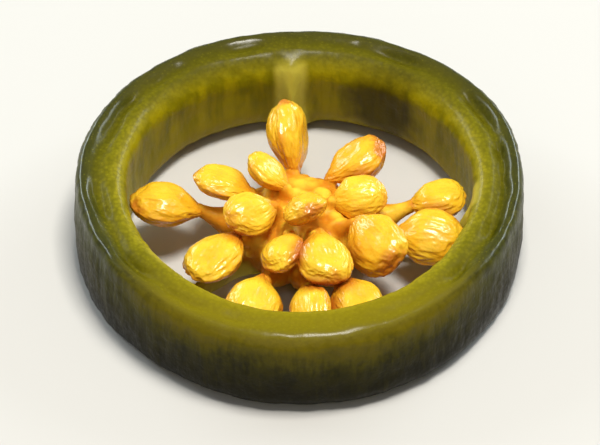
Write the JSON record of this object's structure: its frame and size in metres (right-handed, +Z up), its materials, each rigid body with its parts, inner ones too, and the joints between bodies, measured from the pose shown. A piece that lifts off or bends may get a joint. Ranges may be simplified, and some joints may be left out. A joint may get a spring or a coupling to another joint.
{
  "type": "chilli pepper slice",
  "caption": "Ring slice of a green chilli pepper, baked: glossy skin and flesh wall, thin ribs, and a golden core that holds plump seeds in the open middle.",
  "frame": {"origin": "centre of the slice's outline on its lower cut face, the surface it lies on", "axes": "+Z up through the ring, along the pepper's length before it was cut; the highest rib is at +Y and the near side is -Y"},
  "size_m": [0.029, 0.029, 0.0074],
  "materials": {
    "pepper_flesh": "moist olive green flesh with a glossy dark green skin",
    "seed_coat": "golden yellow, slightly oily, toasted darker at the ends"
  },
  "bodies": {
    "root": {"pepper_ring": "pepper_flesh", "seed_01": "seed_coat", "seed_02": "seed_coat", "seed_03": "seed_coat", "seed_04": "seed_coat", "seed_05": "seed_coat", "seed_06": "seed_coat", "seed_07": "seed_coat", "seed_08": "seed_coat", "seed_09": "seed_coat", "seed_10": "seed_coat", "seed_11": "seed_coat", "seed_12": "seed_coat", "seed_13": "seed_coat", "seed_14": "seed_coat", "seed_15": "seed_coat", "seed_16": "seed_coat", "seed_17": "seed_coat"}
  },
  "joints": []
}
